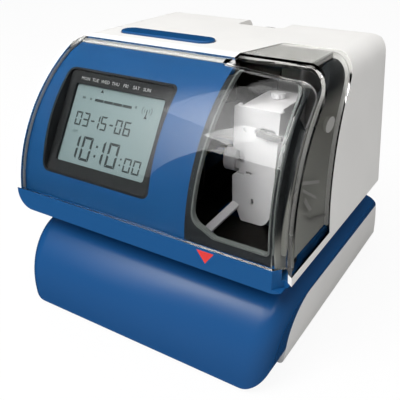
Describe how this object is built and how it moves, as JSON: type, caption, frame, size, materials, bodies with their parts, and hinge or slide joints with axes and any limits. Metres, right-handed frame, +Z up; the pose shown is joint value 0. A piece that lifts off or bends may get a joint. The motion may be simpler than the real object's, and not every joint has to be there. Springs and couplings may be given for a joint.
{
  "type": "electronic date and time stamp machine",
  "caption": "Desktop electronic date and time stamp with an arched smoked clear cover, a display at the left, a print window at the right and an open throat for documents.",
  "frame": {"origin": "middle of the base's footprint, on the floor under the feet", "axes": "+Z up, -Y towards the operator, +X to the operator's right, where the print window is"},
  "size_m": [0.161, 0.172, 0.1422],
  "materials": {
    "case_shell": "fine satin moulding, warm white",
    "blue_shell": "satin gloss moulding, deep blue",
    "smoked_clear": "clear moulding with a light smoke tint",
    "dark_shell": "satin black moulding",
    "display_glass": "liquid crystal cell, pale grey-green",
    "board_green": "solder mask over glass fibre",
    "chip_black": "moulded components",
    "unit_white": "satin white moulding",
    "unit_grey": "satin grey moulding",
    "print_steel": "zinc plated sheet",
    "shaft_steel": "ground steel",
    "head_alloy": "die-cast, finned",
    "ink_cloth": "inked nylon band",
    "soft_rubber": "moulded rubber",
    "coil_tape": "winding under yellow tape",
    "core_steel": "stacked laminations",
    "pointer_red": "bright red",
    "key_grey": "light grey",
    "battery_wrap": "shrink-wrapped cells",
    "brass_lock": "plated",
    "belt_rubber": "toothed belt"
  },
  "bodies": {
    "machine": {"base_case": "case_shell", "base_cover": "blue_shell", "rubber_feet": "soft_rubber", "base_screws": "print_steel", "mains_inlet": "dark_shell", "transformer_core": "core_steel", "transformer_coil": "coil_tape", "neck_shroud": "dark_shell", "chassis_frame": "print_steel", "platen_holder": "print_steel", "platen_rubber": "soft_rubber", "head_pan": "blue_shell", "print_pointer": "pointer_red", "front_panel": "blue_shell", "window_frame": "dark_shell", "window_bead": "unit_grey", "display_bezel": "dark_shell", "display_glass": "display_glass", "display_board": "board_green", "key_board": "board_green", "key_collars": "dark_shell", "side_plate_left": "print_steel", "side_plate_right": "print_steel", "guide_shaft_front": "shaft_steel", "guide_shaft_rear": "shaft_steel", "carriage_motor": "core_steel", "idler_post": "shaft_steel", "drive_belt": "belt_rubber", "trigger_bracket": "print_steel", "trigger_switch": "chip_black", "main_board": "board_green", "board_parts": "chip_black", "backup_battery": "battery_wrap", "print_switch": "chip_black", "plate_screws": "shaft_steel"},
    "cover": {"upper_case": "case_shell", "clear_cover": "smoked_clear", "lock_barrel": "brass_lock", "push_bar_springs": "shaft_steel"},
    "print_bar": {"push_bar": "blue_shell"},
    "lock": {"lock_plug": "brass_lock", "lock_cam": "print_steel"},
    "carriage": {"carriage": "unit_grey", "print_head": "head_alloy", "head_shield": "unit_white", "ribbon_cassette": "unit_white", "cassette_lid": "unit_grey", "ink_ribbon": "ink_cloth", "ribbon_guides": "unit_grey", "guide_finger": "unit_grey"},
    "ribbon_knob": {"take_up_knob": "unit_white"},
    "gap_lever": {"gap_lever": "chip_black"},
    "motor_pulley": {"motor_pulley": "head_alloy"},
    "idler_pulley": {"idler_pulley": "head_alloy"},
    "trigger": {"trigger_lever": "dark_shell"},
    "key_select": {"select_key": "key_grey"},
    "key_change": {"change_key": "key_grey"},
    "key_set": {"set_key": "key_grey"},
    "stop": {"document_stop": "dark_shell"}
  },
  "joints": [
    {"name": "cover_lift", "type": "slide", "parent": "machine", "child": "cover", "axis": [0, 0, 1], "range_m": [0, 0.09]},
    {"name": "print_bar_press", "type": "slide", "parent": "cover", "child": "print_bar", "axis": [0, 0, -1], "range_m": [0, 0.002], "stiffness_N_per_m": 1200, "springref_m": -0.0008, "deforming": ["push_bar_springs"]},
    {"name": "lock_turn", "type": "hinge", "parent": "cover", "child": "lock", "pos_m": [0.004, 0.046, 0.13], "axis": [0, 0, -1], "range_deg": [0, 90]},
    {"name": "carriage_travel", "type": "slide", "parent": "machine", "child": "carriage", "axis": [1, 0, 0], "range_m": [-0.012, 0.012]},
    {"name": "ribbon_take_up", "type": "hinge", "parent": "carriage", "child": "ribbon_knob", "pos_m": [0.041, -0.01275, 0.118], "axis": [0, 0, 1], "continuous": true},
    {"name": "gap_adjust", "type": "slide", "parent": "carriage", "child": "gap_lever", "axis": [1, 0, 0], "range_m": [0, 0.003]},
    {"name": "motor_pulley_turn", "type": "hinge", "parent": "machine", "child": "motor_pulley", "pos_m": [0.019, 0.021, 0.088], "axis": [0, 0, 1], "range_deg": [-125, 125]},
    {"name": "idler_pulley_turn", "type": "hinge", "parent": "machine", "child": "idler_pulley", "pos_m": [0.059, 0.021, 0.088], "axis": [0, 0, 1], "range_deg": [-125, 125]},
    {"name": "trigger_swing", "type": "hinge", "parent": "machine", "child": "trigger", "pos_m": [0.041, -0.003, 0.066], "axis": [1, 0, 0], "range_deg": [0, 25], "stiffness_Nm_per_rad": 0.01, "springref_deg": -11.46},
    {"name": "select_press", "type": "slide", "parent": "machine", "child": "key_select", "axis": [0, 0, -1], "range_m": [0, 0.0007], "stiffness_N_per_m": 800, "springref_m": -0.0004},
    {"name": "change_press", "type": "slide", "parent": "machine", "child": "key_change", "axis": [0, 0, -1], "range_m": [0, 0.0007], "stiffness_N_per_m": 800, "springref_m": -0.0004},
    {"name": "set_press", "type": "slide", "parent": "machine", "child": "key_set", "axis": [0, 0, -1], "range_m": [0, 0.0007], "stiffness_N_per_m": 800, "springref_m": -0.0004},
    {"name": "stop_slide", "type": "slide", "parent": "machine", "child": "stop", "axis": [0, -1, 0], "range_m": [0, 0.026]}
  ],
  "couplings": [
    {"joint": "motor_pulley_turn", "follows": "carriage_travel", "rad_per_m": 175.4},
    {"joint": "idler_pulley_turn", "follows": "carriage_travel", "rad_per_m": 175.4}
  ]
}
